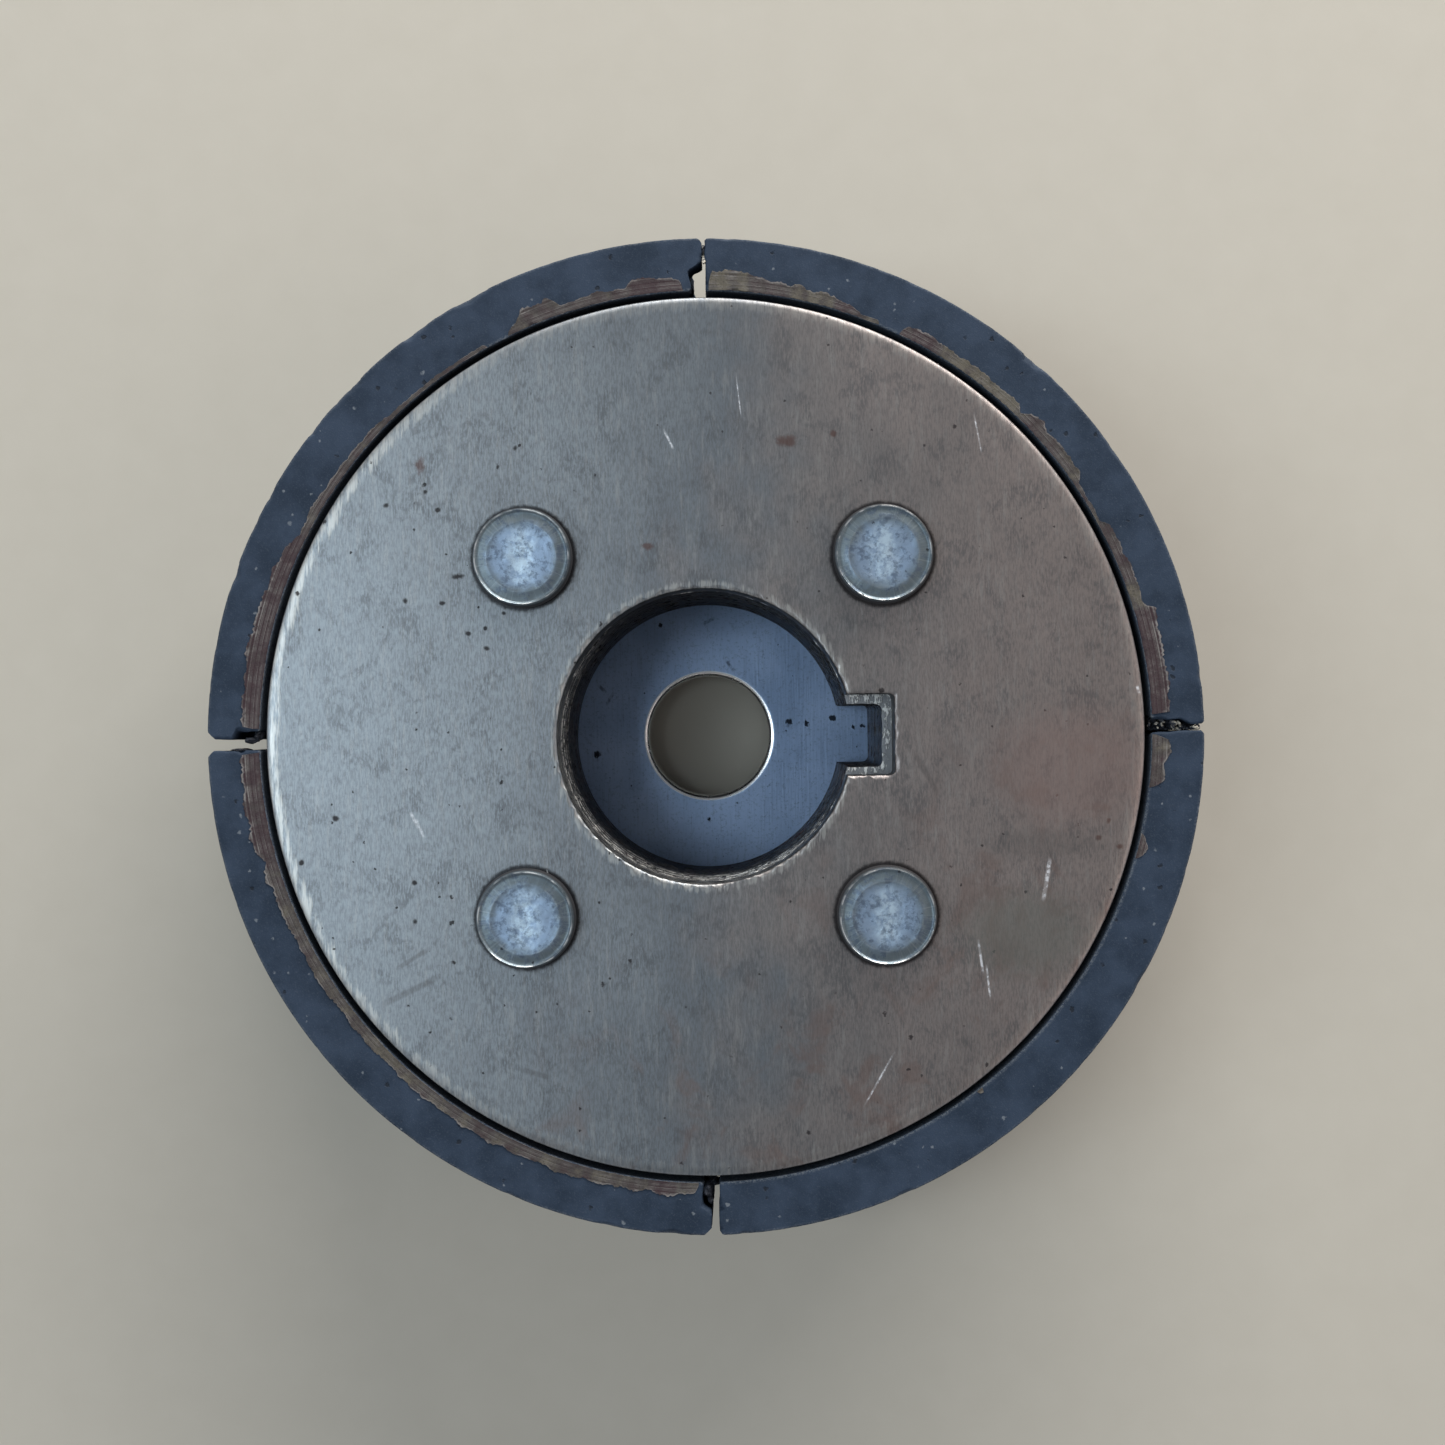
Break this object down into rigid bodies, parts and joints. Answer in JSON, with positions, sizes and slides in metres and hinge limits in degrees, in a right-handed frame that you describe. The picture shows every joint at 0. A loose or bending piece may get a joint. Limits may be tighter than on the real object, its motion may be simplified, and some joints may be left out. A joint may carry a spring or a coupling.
{
  "type": "magnet flywheel",
  "caption": "Riveted laminated steel flywheel core with a keyed blind bore, a bolt hole in its hub plate and ferrite arc magnets glued round its rim.",
  "frame": {"origin": "on the bore axis, on the plane under the lower rivet heads", "axes": "+Z along the crankshaft bore and out of its open mouth; +X from the bore axis through the middle of the keyway"},
  "size_m": [0.075, 0.075, 0.026],
  "materials": {
    "plate_steel": "cold-rolled, fine straight grain",
    "lamination_steel": "punched sheet, dark oxide skin, burred edges",
    "rivet_steel": "zinc plated, dimpled by the setting tool",
    "ferrite": "pressed and ground ferrite, matt, chipped edges",
    "adhesive": "cured dark red-brown adhesive"
  },
  "bodies": {
    "root": {"hub_plate": "plate_steel", "lamination_01": "lamination_steel", "lamination_02": "lamination_steel", "lamination_03": "lamination_steel", "lamination_04": "lamination_steel", "lamination_05": "lamination_steel", "lamination_06": "lamination_steel", "lamination_07": "lamination_steel", "lamination_08": "lamination_steel", "lamination_09": "lamination_steel", "lamination_10": "lamination_steel", "lamination_11": "lamination_steel", "lamination_12": "lamination_steel", "lamination_13": "lamination_steel", "lamination_14": "lamination_steel", "lamination_15": "lamination_steel", "lamination_16": "lamination_steel", "lamination_17": "lamination_steel", "end_plate": "plate_steel", "rivets": "rivet_steel", "magnet_1": "ferrite", "magnet_2": "ferrite", "magnet_3": "ferrite", "magnet_4": "ferrite", "bond_1": "adhesive", "bond_2": "adhesive", "bond_3": "adhesive", "bond_4": "adhesive", "gap_fill": "adhesive"}
  },
  "joints": []
}
